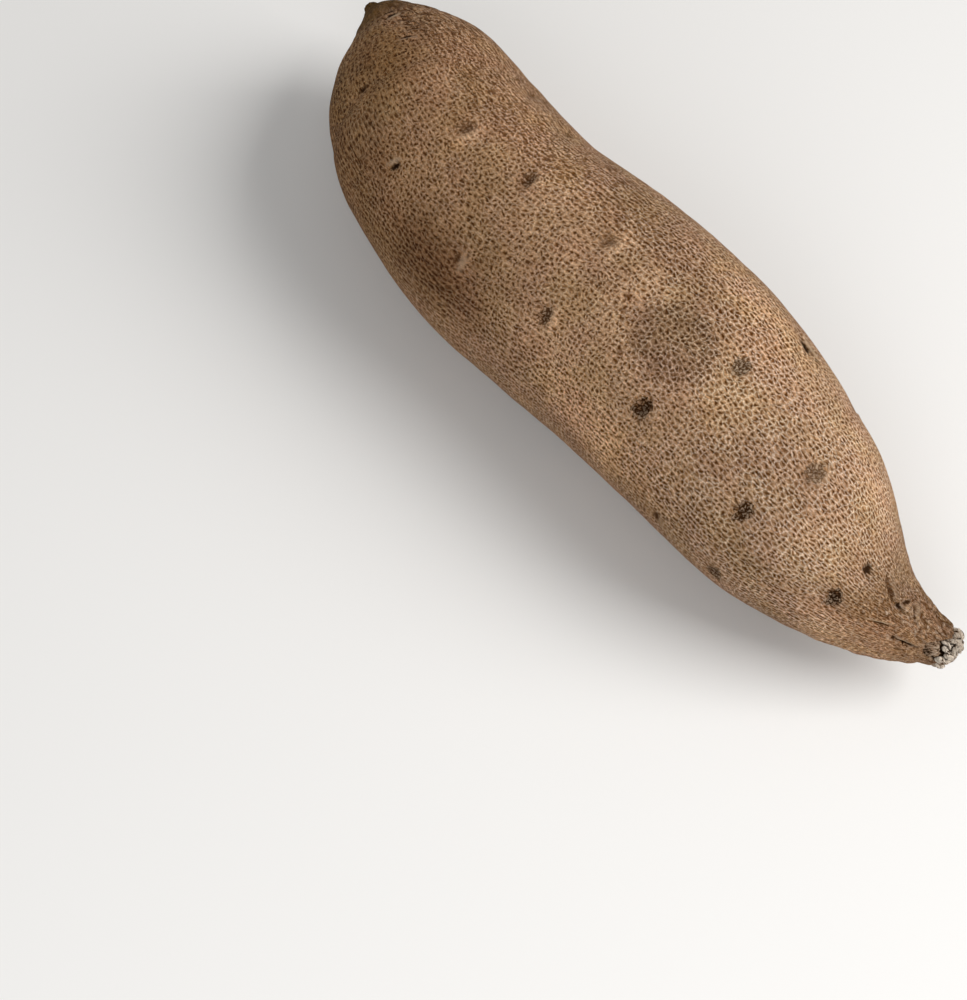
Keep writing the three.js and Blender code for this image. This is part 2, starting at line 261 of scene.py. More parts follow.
# Its splinters: distance along, degrees round, half length, half width, how far they stand out in
# mm, how pale they are, and how wide the crack round each is as a part of it.
SPLINTERS = [
    [217.3, 141, 1.75, 2, 0.5, 0.1, 0.8],
    [219.4, 64, 1.6, 0.8, 0.3, 0.7, 0.7],
    [221.6, 76, 1.5, 0.7, 0.1, 0.85, 0.7],
    [219.6, 88, 1.6, 0.75, 0.4, 0.8, 0.8],
    [221.8, 98, 1.4, 0.6, 0.2, 1, 0.7],
    [219.4, 110, 1.7, 0.7, 0.45, 0.9, 0.8],
    [221.6, 120, 1.5, 0.65, 0.15, 0.95, 0.8],
    [219.2, 129, 1.5, 0.7, 0.35, 1, 0.9],
    [221.4, 142, 1.4, 0.6, 0.5, 0.9, 0.8],
    [219.2, 156, 1.7, 0.75, 0.55, 1, 0.8],
    [221.2, 168, 1.4, 0.7, 0.15, 0.85, 0.7],
    [219, 178, 1.5, 0.8, 0.35, 0.9, 0.7],
    [222.5, 120, 0.5, 0.5, 0.25, 1, 0.9],
]
# The first of those on the other sides and of those of its end, as in the rows above
FAR_SPLINTER = [219.8, 188, 2.6, 0.8, 0.15, 0.45, 0.9]
FAR_SPLINTERS = 13
FAR_SPLINTER_TURN = 18  # degrees from one to the next
FAR_SPLINTER_CHANGE = (0.8, 0.15, 0.5)  # how they differ: along, in width and height, in paleness
END_SPLINTER = [222.2, 196, 0.8, 0.85, 0.2, 0.8, 0.6]
END_TURNS = (0, 44, 88, 132, -184, -142)  # degrees from the first
SPLINTER_ROUND = 0.5  # how far a splinter's own sides fall away, as a part of its height
SPLINTER_WANDER = 0.7  # mm that the cracks between splinters stray
WANDER_LENGTH = 1.2
NOISE_APART = 40  # mm between the places where the three directions' noise is read
SPLINTER_END = 1.3  # in its half sizes, past which a splinter falls away no further
CRACK_DEPTH = 0.95

# The mesh: rings of corners, closer together on the tail, the stub and the crown nub.
RINGS = 396
SIDES = 250
FINE_ZONES = [[0, 6, 3.5], [196, 212, 1.9], [212, 223, 4]]  # from, to, how many times closer
T_STEP = 0.01  # part of a station, for directions along the spine
SPINE_STEPS = 6000

# The skin pattern's cells in mm, the half length and half width in cells of a round pit and of a
# slit, and the radius whose girth the pattern is laid out on.
PIT_CELL = (1.24, 1.26)
DOT_HALF = (0.32, 0.2)
SLIT_HALF = (0.44, 0.24)
LONG_SLIT = 0.56  # half length of the slits on the crown half's far side
PATTERN_RADIUS = 28.4

# Fine unevenness that the plain solid leaves out: wavelength and height.
UNEVEN = [[9, 0.14], [3.4, 0.07]]
# Wrinkles along the narrow tail: length, width, height, and where they rise to it.
WRINKLES = [[16, 1.9, 0.34, (182, 206)], [6, 0.9, 0.2, (194, 208)]]
CREASE_LENGTH = 7
CREASE_WIDTH = 1.5
CREASE_HALF = 0.13  # how near to zero the noise is in a crease
CREASE_DEPTH = 0.3
CREASE_RAMP = (196, 210)
CREASE_NOISE = 50  # mm to the side, where the creases' noise is read
CROWN_FOLD = 0.2  # height of the folds round the crown
CROWN_FOLD_SIZE = (1.5, 7, 7)
CROWN_FOLD_NOISE = 90
CROWN_RAMP = (14, 30)
FIBRE = 0.28  # height of the fibres on the stub and the nub
FIBRE_SIZE = (2.2, 0.6, 0.6)
NUB_END = 3.2
NUB_FADE = (3, 15)
NUB_SHARE = 0.9
CORK_RAMP = (-0.4, 0.3)  # mm past the stub's edge, where the fibres start
STUB_RAMP = (-0.3, 0.2)  # where the splinters start
SCAR_APART = (1.02, 1.3)  # how much nearer one scar has to be than the next to show its look
SCAR_FADE = (2.2, 3)  # in a scar's size, where its look ends
SPOT_EDGE = (0.5, 1.5)  # in a spot's radius

# Where the pattern gets smoother, and where its dots draw out into slits. Two numbers are where
# a change starts and ends, along the tuber or in degrees.
SMOOTH_TAIL = (188, 212)
SMOOTH_CROWN = (2, 13)
TAIL_RAMP = (193, 208)
DOT_SIDE = 118  # degrees round the section
SLIT_RAMP = (20, 42)  # degrees away from there
SLIT_TAIL = (186, 204)
FAR_DOTS = 0.7  # how much of the far side's slits turn back into dots near the tail
FAR_RAMP = (135, 165)
GIRTH_END = 80  # up to here from the crown the pattern keeps the size of its cells
CROWN_GROWTH = 0.12  # how much larger they get at the crown
CROWN_CELLS = (28, 58)
LONG_RAMP = (90, 135)  # the crown half's longer slits end here
LONG_SIDE = (20, 42)  # degrees from DOT_SIDE towards the far side, where they start
LONG_END = (76, 112)  # and where they end
CROWN_HUE = (35, 105)  # between these the darker stretches lose the crown's warmer brown
CROWN_SIDE = (5, 32)  # degrees from DOT_SIDE towards the far side, where it is lost too
CROWN_FAR = 0.95  # how much of it
SEAM = -90  # degrees round, where the mesh and its pattern meet themselves under the belly
SEAM_RAMP = (0.02, 0.16)  # radians away from there, where the pattern is back
STAIN_EDGE = (0.45, 1.25)  # in a patch's half sizes, where a stain starts and ends to fade
SHADE_EDGE = (0.2, 1.5)
# Where the pale net between the dots is strong, as the patches above.
NETTED = [
    [141, 100, 20, 16, 0.5],
    [182, 140, 30, 34, 1],
    [178, 80, 36, 20, 0.8],
    [110, 60, 60, 16, 0.5],
    [100, 260, 60, 40, 0.7],
    [160, 320, 50, 30, 0.8],
]

# Skin colours as light reflected, from the pale net to the black of torn roots.
NET = (0.69, 0.522, 0.383)
CELL = (0.48, 0.285, 0.155)
HOLLOW = (0.265, 0.12, 0.042)
PIT = (0.115, 0.038, 0.006)
SMOOTH_SKIN = (0.38, 0.234, 0.131)
STAIN = (0.57, 0.55, 0.55)
# What the darker stretches multiply the skin by; these are partly the skin's own browner tone and partly
# painted shade
SHADE = (0.5, 0.43, 0.37)
CROWN_SHADE = (0.5, 0.41, 0.235)
TAIL_SHADE = (0.5, 0.41, 0.335)
PURPLE = (0.98, 0.955, 0.98)
OLIVE = (0.99, 0.99, 0.93)
BLACK_ROOT = (0.024, 0.009, 0.002)
BROWN_ROOT = (0.075, 0.027, 0.006)
PALE_ROOT = (0.52, 0.385, 0.265)
GREY_ROOT = (0.2, 0.18, 0.125)
PALE_LIP = (0.52, 0.37, 0.24)
FLAKE = (0.5, 0.35, 0.24)
WHITE_FLAKE = (0.76, 0.58, 0.43)
CORK = (1, 0.87, 0.72)
CORK_BROWN = (0.32, 0.18, 0.092)
CORK_DARK = (0.025, 0.01, 0.002)
NUB = (0.06, 0.034, 0.009)
NUB_LIGHT = (0.18, 0.0884, 0.0198)

LOOP_CELL = (1.2, 0.75)  # size of the loops of torn root fibres, in mm
MARK_FLAT = 1.3  # how many times wider than long a scar's mark is
CELL_RANDOM = 0.62
GIRTH_STEP = 0.1  # the steps in which the pattern shrinks with the girth
GIRTH_RAGGED = 0.14
# Noise that bends the rows of cells: its scale, and how far it moves them
BENDS = [[0.3, (1.8, 1.4, 0)], [0.9, (0.7, 0.5, 0)]]
# Scales of drawn-out noise: on the skin's own coordinates in mm, along and round...
FLECKS = (1.5, 2.4, 0)
FURROWS = (0.38, 1.8, 0)
STREAKS = (0.45, 2.4, 0)
# ...and in space in metres, along X, Y and Z
TAIL_WRINKLES = (550, 2300, 2300)
HAIRLINES = (380, 1300, 1300)
FLAKES = (800, 1200, 1200)
FIBRES = (600, 2300, 2300)
# How dark and how light broad patches, flecks, streaks and wrinkles make the skin
PATCH_TONE = (0.86, 1.12)
FLECK_TONE = (0.62, 1.38)
STREAK_TONE = (0.85, 1.15)
WRINKLE_TONE = (0.6, 1.35)
SMALL_MARK = (0.7, 1.5)  # below these sizes a scar is a bare crease with a near, narrow lip
# How far each part of the pattern stands out or sinks, in the bump's height
RELIEF = {
    "net": 0.3,
    "pit": -0.8,
    "hollow": -0.3,
    "furrow": -0.5,
    "streak": 0.7,
    "strokes": -0.5,
    "rays": -0.5,
    "hairline": -1,
    "flake": 0.6,
    "fibres": 1.8,
    "grain": 1,
}
GRAIN_RELIEF = (1.3, 0.7)  # of the grain, on the body and on the tail
BUMP_HEIGHT = 0.28  # mm
SKIN_ROUGH = 0.72
NET_ROUGH = 0.62
CORK_ROUGH = 0.9
SKIN_SHINE = 0.05

# The stage, in metres
FLOOR_HALF = 10
FLOOR_COLOUR = (0.86, 0.855, 0.845)
SKY_COLOUR = (1, 0.99, 0.975)
SKY_STRENGTH = 0.3
LIGHT_AIM = (0.02, 0, 0.03)
LIGHTS = [
    ["key", (0.72, 0.6, 0.8), 0.85, 15, (1, 0.985, 0.965)],
    ["fill", (0.5, -0.6, 0.5), 0.6, 3, (0.98, 0.99, 1)],
]

# The camera, in millimetres and degrees
CAMERA_PLACE = (189.81, -185.95, 398.08)
CAMERA_AZIMUTH = 51.6
CAMERA_ELEVATION = 60
CAMERA_LENS = 70.13


def smoothstep(value, low, high):
    share = np.clip((value - low) / (high - low), 0, 1)
    return share * share * (3 - 2 * share)


def fade(value, low, high):
    return 1 - smoothstep(value, low, high)


def bell(distance, half_width):
    return np.exp(-((distance / half_width) ** 2))


def unit(vectors):
    return vectors / np.linalg.norm(vectors, axis=-1, keepdims=True)


def station(t):
    """A smooth curve through the stations, at station numbers that may fall between two of them"""
    t = np.asarray(t, float)
    i = np.minimum(np.floor(t).astype(int), LAST - 1)
    f = (t - i)[..., None]
    p0 = STATIONS[np.maximum(i - 1, 0)]
    p1 = STATIONS[i]
    p2 = STATIONS[i + 1]
    p3 = STATIONS[np.minimum(i + 2, LAST)]
    square = 2 * p0 - 5 * p1 + 4 * p2 - p3
    cube = 3 * p1 - p0 - 3 * p2 + p3
    return 0.5 * (2 * p1 + (p2 - p0) * f + square * f**2 + cube * f**3)


def spine_frame(t):
    """The spine's direction and the section's sideways and upward directions"""
    ahead = station(np.minimum(t + T_STEP, LAST))
    behind = station(np.maximum(t - T_STEP, 0))
    forward = unit(ahead[..., :3] - behind[..., :3])
    flat = np.stack([-forward[..., 1], forward[..., 0], np.zeros_like(forward[..., 0])], -1)
    side = unit(flat)
    return forward, side, np.cross(forward, side)


def plain_point(t, angle):
    """Points of the plain skin, with no swelling or scar"""
    t = np.asarray(t, float)
    row = station(t)
    _, side, up = spine_frame(t)
    across = row[..., 3:4] * np.cos(angle)[..., None] * side
    return row[..., :3] + across + row[..., 4:5] * np.sin(angle)[..., None] * up


def outward(t, angle):
    """The outward direction of the plain skin"""
    inside = np.clip(t, T_STEP, LAST - T_STEP)
    along = plain_point(inside + T_STEP, angle) - plain_point(inside - T_STEP, angle)
    around = plain_point(inside, angle + T_STEP) - plain_point(inside, angle - T_STEP)
    return unit(np.cross(around, along))


# The spine in many short steps, to find a station number by its distance along
FINE_T = np.linspace(0, LAST, SPINE_STEPS + 1)
FINE_ROWS = station(FINE_T)


def turned_from(angle, degrees):
    """The angle measured from that many degrees round, between minus and plus half a turn"""
    return (angle - math.radians(degrees) + math.pi) % (2 * math.pi) - math.pi


def station_at(along):
    return np.interp(along, FINE_ROWS[:, 0], FINE_T)


def seeded_draw(state):
    def draw(low, high):
        nonlocal state
        state = (state * DRAW_FACTOR) % DRAW_RANGE
        return low + (high - low) * state / DRAW_RANGE

    return draw


def hidden_scars():
    draw = seeded_draw(SEED)
    hidden = []
    for row in HIDDEN_ROWS:
        along = draw(*ROW_START)
        while along < ROW_END:
            size = draw(*HIDDEN_SIZE)
            around = row + draw(-ROW_STRAY, ROW_STRAY)
            turn = draw(-TURN_STRAY, TURN_STRAY)
            look = HIDDEN_LOOKS[len(hidden) % len(HIDDEN_LOOKS)]
            if row != BELLY_ROW or not BELLY_CLEAR[0] < along < BELLY_CLEAR[1]:
                hidden.append([along, around, turn, *(size * measure for measure in HIDDEN_SCAR), *look])
            along += draw(*ROW_GAP)
    return hidden


def crown_creases():
    """Rows of the crown's creases, each a little different from the one before it"""
    along, around, turn, half_length, *look = CROWN_CREASE
    aside, swing, longer = CROWN_CREASE_CHANGE
    rows = []
    for k in range(CROWN_CREASES):
        place = [along + CROWN_CREASE_STEP * k, around + aside * (k % 2)]
        rows.append([*place, turn + swing * (k % 3), half_length + longer * (k % 2), *look])
    return rows


def more_splinters():
    """Rows of the splinters on the stub's other sides and on its end"""
    along, around, half_length, half_width, stand, tone, crack = FAR_SPLINTER
    further, wider, paler = FAR_SPLINTER_CHANGE
    rows = []
    for k in range(FAR_SPLINTERS):
        place = [along + further * (k % 2), around + FAR_SPLINTER_TURN * k]
        more = wider * (k % 3)
        rows.append([*place, half_length, half_width + more, stand + more, tone + paler * (k % 2), crack])
    along, around, *look = END_SPLINTER
    for turn in END_TURNS:
        rows.append([along, around + turn, *look])
    return rows


class Scar:
    """A scar's place on the skin, and the directions that its crease is turned to"""

    def __init__(self, along, around, turn, half_length, half_width, depth, lip, mark, *look):
        t = station_at(along)
        angle = np.radians(around)
        normal = outward(t, angle)
        forward = spine_frame(t)[0]
        tailward = unit(forward - forward.dot(normal) * normal)
        across = np.cross(normal, tailward)
        swing = math.radians(turn)
        self.across = math.cos(swing) * across - math.sin(swing) * tailward
        self.tailward = math.cos(swing) * tailward + math.sin(swing) * across
        self.place = plain_point(t, angle)
        self.half_length = half_length
        self.half_width = half_width
        self.depth = depth
        self.lip = lip
        self.mark = mark
        self.look = look

    def local(self, points):
        offset = points - self.place
        return offset @ self.across, offset @ self.tailward, np.linalg.norm(offset, axis=-1)

    def relief(self, points):
        """A crease, a lip on its tail side, and a shallow bowl round both"""
        u, v, distance = self.local(points)
        crease = self.depth * bell(u, self.half_length) * bell(v, self.half_width)
        past_lip = v - LIP_AWAY * self.half_width
        lip = self.lip * bell(u, LIP_LENGTH * self.half_length)
        lip = lip * bell(past_lip, LIP_WIDTH * self.half_width)
        bowl = BOWL_DEPTH * self.depth * bell(distance, BOWL_REACH * self.half_length)
        return np.where(distance > SCAR_REACH * self.half_length, 0, lip - crease - bowl)


def above_belly(angle):
    return fade(-np.sin(angle), *BELLY_CALM)


def swell(along, angle, radius):
    height = 0
    for size, waves, length, phase in SWELLS:
        height = height + size * np.sin(waves * angle + 2 * math.pi * along / length + phase)
    return height * np.minimum(radius / SWELL_FULL_RADIUS, 1) ** 2 * above_belly(angle)


def stub_edge(angle):
    degrees, along = STUB_EDGE
    return np.interp(np.degrees(angle) % 360, degrees, along)


def noise_field(points, wavelength):
    """Smooth noise between about -1 and 1 at each point; wavelength is a number or one for each axis"""
    scaled = (points / np.asarray(wavelength, float)).reshape(-1, 3)
    values = np.array([noise.noise(Vector(point)) for point in scaled.tolist()])
    return values.reshape(points.shape[:-1])


def splinters(points):
    """For each point how far its splinter stands out, how pale it is, and how near a crack is"""
    stray = [noise_field(points + NOISE_APART * k, WANDER_LENGTH) for k in (1, 2, 3)]
    strayed = points + SPLINTER_WANDER * np.stack(stray, -1)
    nearest = np.full(points.shape[:-1], np.inf)
    second = nearest.copy()
    height = np.zeros(points.shape[:-1])
    pale = np.zeros(points.shape[:-1])
    width = np.ones(points.shape[:-1])
    for along, around, half_length, half_width, stand, tone, share in SPLINTERS + more_splinters():
        t = station_at(along)
        forward = spine_frame(t)[0]
        offset = strayed - plain_point(t, np.radians(around))
        ahead = offset @ forward
        aside = np.linalg.norm(offset - ahead[..., None] * forward, axis=-1)
        distance = np.hypot(ahead / half_length, aside / half_width)
        closer = distance < nearest
        second = np.where(closer, nearest, np.minimum(second, distance))
        nearest = np.where(closer, distance, nearest)
        height[closer] = stand
        pale[closer] = tone
        width[closer] = share
    height = height * (1 - SPLINTER_ROUND * np.minimum(nearest, SPLINTER_END) ** 2)
    return height, pale, fade((second - nearest) / width, 0, 1)


def fine_relief(angle, points, rows):
    """The height of the fine relief, and how deep in a crease each point of the tail lies"""
    along = rows[..., 0]
    height = 0
    for wavelength, size in UNEVEN:
        height = height + size * noise_field(points, wavelength)
    section = np.stack([along, rows[..., 3] * np.cos(angle), rows[..., 4] * np.sin(angle)], -1)
    for length, width, size, ramp in WRINKLES:
        height = height + size * smoothstep(along, *ramp) * noise_field(section, [length, width, width])
    folds = noise_field(section + CROWN_FOLD_NOISE, CROWN_FOLD_SIZE)
    height = height + CROWN_FOLD * folds * fade(along, *CROWN_RAMP)
    lines = noise_field(section + CREASE_NOISE, [CREASE_LENGTH, CREASE_WIDTH, CREASE_WIDTH])
    crease = fade(np.abs(lines), 0, CREASE_HALF) * smoothstep(along, *CREASE_RAMP)
    height = (height - CREASE_DEPTH * crease) * above_belly(angle)
    on_stub = smoothstep(along - stub_edge(angle), *CORK_RAMP)
    cork = np.maximum(on_stub, fade(along, 0, NUB_END))
    height = height + FIBRE * cork * noise_field(points, FIBRE_SIZE)
    return height, crease * (1 - on_stub)


def ring_numbers():
    """The rings' station numbers, and how far along the skin each lies in mm"""
    steps = np.hypot(
        np.linalg.norm(np.diff(FINE_ROWS[:, :3], axis=0), axis=1), np.diff(FINE_ROWS[:, 3])
    )
    along = FINE_ROWS[1:, 0]
    closer = np.ones(len(along))
    for start, end, share in FINE_ZONES:
        closer[(along >= start) & (along < end)] = share
    reach = np.concatenate([[0], np.cumsum(steps * closer)])
    length = np.concatenate([[0], np.cumsum(steps)])
    t = np.interp(np.linspace(0, reach[-1], RINGS + 1), reach, FINE_T)
    return t, np.interp(t, FINE_T, length)


def lay_down(points):
    """Moves the skin to where the solid lies, and presses flat what reaches below the table"""
    low, high = [np.array(corner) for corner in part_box(NODE)]
    least = points.min(0)
    shift = (low + high) / 2 / MM - (least + points.max(0)) / 2
    shift[2] = low[2] / MM - least[2] - REST_DEPTH
    moved = points + shift
    moved[:, 2] = np.maximum(moved[:, 2], low[2] / MM)
    return moved


def grid_faces():
    """Faces of the ring grid as pairs of ring and side, one row for each corner"""
    ring, side = np.meshgrid(np.arange(RINGS), np.arange(SIDES), indexing="ij")
    ring = ring.ravel()
    side = side.ravel()
    corners = [(ring, side), (ring, side + 1), (ring + 1, side + 1), (ring + 1, side)]
    return np.stack([np.stack(corner, -1) for corner in corners], 1)


def corner_number(ring, side):
    """The vertex at a ring and side; each tip is one vertex, the first and the last"""
    inner = 1 + (ring - 1) * SIDES + side % SIDES
    return np.where(ring == 0, 0, np.where(ring == RINGS, 1 + (RINGS - 1) * SIDES, inner))


def scar_attributes(points, scars):
    """For each point its nearest scar's local coordinates in mm, its size and its look"""
    place = np.zeros(points.shape)
    size = np.ones(points.shape)
    look = np.zeros(points.shape)
    nearest = np.full(points.shape[:-1], np.inf)
    second = nearest.copy()
    for scar in scars:
        u, v, distance = scar.local(points)
        ratio = distance / max(scar.half_length, scar.mark)
        closer = ratio < nearest
        second = np.where(closer, nearest, np.minimum(second, ratio))
        nearest = np.where(closer, ratio, nearest)
        place[closer, 0] = u[closer]
        place[closer, 1] = v[closer]
        size[closer] = (scar.half_length, scar.half_width, scar.mark)
        look[closer] = scar.look
    apart = smoothstep(second / np.maximum(nearest, 0.001), *SCAR_APART)
    place[..., 2] = apart * fade(nearest, *SCAR_FADE)
    return place, size, look


def spot_share(points, spots):
    share = np.zeros(points.shape[:-1])
    for along, around, radius, dark in spots:
        centre = plain_point(station_at(along), np.radians(around))
        distance = np.linalg.norm(points - centre, axis=-1)
        share = np.maximum(share, dark * fade(distance / radius, *SPOT_EDGE))
    return share


def patch_share(angle, rows, patches, edge=SHADE_EDGE):
    """How dark the patches make each point; between the two numbers of edge each of them fades"""
    bare = np.ones(rows.shape[:-1])
    for along, around, half_length, half_width, dark in patches:
        turn = turned_from(angle, around)
        stray = np.hypot((rows[..., 0] - along) / half_length, turn * rows[..., 3] / half_width)
        bare = bare * (1 - dark * fade(stray, *edge))
    return 1 - bare


def add_object(name, data):
    added = bpy.data.objects.new(name, data)
    bpy.context.scene.collection.objects.link(added)
    return added


def with_tips(first, grid, last):
    """A row for each vertex: the first tip, the rings' corners, the last tip"""
    return np.concatenate([[first], grid.reshape(-1, 3), [last]])


def add_map(mesh, name, across, along):
    layer = mesh.uv_layers.new(name=name)
    layer.data.foreach_set("uv", np.stack([across, along], -1).astype(np.float32).ravel())


def skin_mesh(points, ring_length):
    """The mesh through the vertices, with the map of its pattern and one without overlaps"""
    faces = grid_faces()
    numbers = corner_number(faces[..., 0], faces[..., 1])
    loops = []
    kept = []
    for face, corners in zip(numbers.tolist(), faces.tolist()):
        keep = [k for k in range(4) if face[k] != face[k - 1]]
        loops.append([face[k] for k in keep])
        kept.extend(corners[k] for k in keep)
    mesh = bpy.data.meshes.new("tuber")
    mesh.from_pydata((points * MM).tolist(), [], loops)
    kept = np.array(kept)
    length = ring_length[kept[:, 0]]
    turn = 2 * math.pi * kept[:, 1] / SIDES
    add_map(mesh, "Skin", length, PATTERN_RADIUS * turn)
    add_map(mesh, "OFBake", length / ring_length[-1], kept[:, 1] / SIDES)
    mesh.polygons.foreach_set("use_smooth", [True] * len(mesh.polygons))
    return mesh


def skin_looks(angle, rows, plain, scars, on_stub, crease, cork_pale, crack):
    """What the material reads: three values for the first tip, for each point and for the last tip"""
    along = rows[..., 0]
    place, size, look = scar_attributes(plain, scars)
    away = np.degrees(turned_from(angle, DOT_SIDE))
    stain = patch_share(angle, rows, STAINS, STAIN_EDGE)
    # Darker stretches, partly painted shade, and paler ones, partly painted light
    darker_skin_and_shade = patch_share(angle, rows, DARKER_SKIN_AND_PAINTED_SHADE)
    light = patch_share(angle, rows, PALER_SKIN_AND_PAINTED_LIGHT)
    netted = patch_share(angle, rows, NETTED)
    flaky = patch_share(angle, rows, FLAKY)
    spots = spot_share(plain, SPOTS)
    seam = fade(np.abs(turned_from(angle, SEAM)), *SEAM_RAMP)

    narrow = smoothstep(along, *SMOOTH_TAIL) + fade(along, *SMOOTH_CROWN)
    slits = smoothstep(np.abs(away), *SLIT_RAMP)
    slits = slits * (1 - FAR_DOTS * smoothstep(along, *FAR_RAMP) * (away < 0))
    slits = np.maximum(slits, smoothstep(along, *SLIT_TAIL))
    longer = fade(along, *LONG_RAMP) * smoothstep(-away, *LONG_SIDE) * fade(-away, *LONG_END)
    girth = np.where(along < GIRTH_END, np.minimum(rows[..., 3] / PATTERN_RADIUS, 1), 1)
    girth = girth - CROWN_GROWTH * fade(along, *CROWN_CELLS)
    crown = fade(along, *CROWN_HUE) * (1 - CROWN_FAR * smoothstep(-away, *CROWN_SIDE))
    nub = NUB_SHARE * fade(along, *NUB_FADE)
    tail = smoothstep(along, *TAIL_RAMP) * (1 - on_stub)
    tail = tail * (1 - patch_share(angle, rows, CALM))

    none = [0, 0, 0]
    middle = [0, 1, 0]
    return {
        "scar_place": [none, place, none],
        "scar_size": [[1, 1, 1], size, [1, 1, 1]],
        "scar_look": [none, look, none],
        "zone": [middle, np.stack([stain, narrow, slits], -1), middle],
        "tail": [none, np.stack([tail, crease, netted], -1), none],
        "cork": [[0, 0, NUB_SHARE], np.stack([on_stub, crack * on_stub, nub], -1), [1, 0, 0]],
        "tints": [none, np.stack([cork_pale, light, girth], -1), none],
        "bits": [middle, np.stack([flaky, crown, longer], -1), none],
        "marks": [middle, np.stack([spots, seam, darker_skin_and_shade], -1), middle],
    }


def build_tuber():
    scars = [Scar(*row) for row in SCARS + crown_creases() + hidden_scars()]
    ring_t, ring_length = ring_numbers()
    ring_angle = math.radians(SEAM) + 2 * math.pi * np.arange(SIDES) / SIDES
    t = np.repeat(ring_t[1:-1, None], SIDES, 1)
    angle = np.repeat(ring_angle[None, :], RINGS - 1, 0)
    rows = station(t)
    plain = plain_point(t, angle)
    past_edge = rows[..., 0] - stub_edge(angle)
    on_stub = smoothstep(past_edge, *STUB_RAMP)
    stand, cork_pale, crack = splinters(plain)

    height = swell(rows[..., 0], angle, rows[..., 3])
    height = height - EDGE_DEPTH * bell(past_edge, EDGE_HALF_WIDTH)
    height = height + on_stub * (stand - CRACK_DEPTH * crack)
    height = height - SHOULDER_DEPTH * patch_share(angle, rows, SHOULDER)
    for scar in scars:
        height = height + scar.relief(plain)
    fine, crease = fine_relief(angle, plain, rows)
    height = height + fine
    skin = plain + outward(t, angle) * height[..., None]
    tips = station(ring_t[[0, -1]])[:, :3]

    mesh = skin_mesh(lay_down(with_tips(tips[0], skin, tips[1])), ring_length)
    looks = skin_looks(angle, rows, plain, scars, on_stub, crease, cork_pale, crack)
    for name, values in looks.items():
        layer = mesh.attributes.new(name, "FLOAT_VECTOR", "POINT")
        layer.data.foreach_set("vector", with_tips(*values).astype(np.float32).ravel())
    return add_object("tuber_skin", mesh)


class Graph:
    """Adds nodes to a material; an input is a number, a tuple or another node's output"""

    def __init__(self, name):
        self.material = bpy.data.materials.new(name)
        self.material.use_nodes = True
        self.tree = self.material.node_tree
        self.shader = self.tree.nodes["Principled BSDF"]
        self.read = {}

    def plug(self, socket, value):
        if isinstance(value, bpy.types.NodeSocket):
            self.tree.links.new(value, socket)
        else:
            socket.default_value = value

    def node(self, kind, inputs=(), **settings):
        node = self.tree.nodes.new(kind)
        for name, value in settings.items():
            setattr(node, name, value)
        for key, value in dict(inputs).items():
            self.plug(node.inputs[key], value)
        return node

    def math(self, operation, first, second):
        return self.node("ShaderNodeMath", {0: first, 1: second}, operation=operation).outputs[0]

    def times(self, first, *others):
        for other in others:
            first = self.math("MULTIPLY", first, other)
        return first

    def plus(self, first, second):
        return self.math("ADD", first, second)

    def minus(self, first, second):
        return self.math("SUBTRACT", first, second)

    def divide(self, first, second):
        return self.math("DIVIDE", first, second)

    def most(self, first, second):
        return self.math("MAXIMUM", first, second)

    def vector(self, operation, first, second=(0, 0, 0)):
        return self.node("ShaderNodeVectorMath", {0: first, 1: second}, operation=operation).outputs[0]

    def stretch(self, vector, factors):
        return self.vector("MULTIPLY", vector, factors)

    def move(self, vector, offset):
        return self.vector("ADD", vector, offset)

    def rotate(self, vector, angle):
        inputs = {"Vector": vector, "Angle": angle}
        return self.node("ShaderNodeVectorRotate", inputs, rotation_type="Z_AXIS").outputs[0]

    def length(self, vector):
        return self.node("ShaderNodeVectorMath", {0: vector}, operation="LENGTH").outputs["Value"]

    def smooth(self, value, low, high, start=0, end=1):
        inputs = {0: value, 1: low, 2: high, 3: start, 4: end}
        return self.node("ShaderNodeMapRange", inputs, interpolation_type="SMOOTHSTEP").outputs[0]

    def fade(self, value, low, high):
        return self.smooth(value, low, high, 1, 0)

    def between(self, share, first, second):
        return self.node("ShaderNodeMix", {0: share, 2: first, 3: second}).outputs[0]

    def mix(self, share, first, second, blend="MIX"):
        sockets = bpy.types.NodeSocket
        colours = [value if isinstance(value, sockets) else (*value, 1) for value in (first, second)]
        inputs = {0: share, 6: colours[0], 7: colours[1]}
        return self.node("ShaderNodeMix", inputs, data_type="RGBA", blend_type=blend).outputs[2]

    def tint(self, share, first, second):
        """Part of the way from the first colour to the first times the second"""
        return self.mix(share, first, self.mix(1, first, second, "MULTIPLY"))

    def attribute(self, name):
        if name not in self.read:
            vector = self.node("ShaderNodeAttribute", attribute_name=name).outputs["Vector"]
            self.read[name] = tuple(self.split(vector))
        return self.read[name]

    def split(self, vector):
        return self.node("ShaderNodeSeparateXYZ", {0: vector}).outputs

    def join(self, x, y, z=0):
        return self.node("ShaderNodeCombineXYZ", {0: x, 1: y, 2: z}).outputs[0]

    def noises(self, vector, scale, detail, roughness=0.5, dimensions="2D"):
        inputs = {"Vector": vector, "Scale": scale, "Detail": detail, "Roughness": roughness}
        return self.node("ShaderNodeTexNoise", inputs, noise_dimensions=dimensions).outputs

    def noise(self, vector, scale, detail=2, roughness=0.5):
        return self.noises(vector, scale, detail, roughness)[0]

    def noise_inside(self, vector, scales, detail=2, roughness=0.5):
        return self.noises(self.stretch(vector, scales), 1, detail, roughness, "3D")[0]

    def stray(self, vector, scale, detail=2):
        """Noise as a vector, whose parts lie round zero"""
        return self.vector("SUBTRACT", self.noises(vector, scale, detail)[1], (0.5, 0.5, 0.5))

    def voronoi(self, vector, feature, randomness):
        inputs = {"Vector": vector, "Scale": 1, "Randomness": randomness}
        return self.node("ShaderNodeTexVoronoi", inputs, feature=feature, voronoi_dimensions="2D").outputs


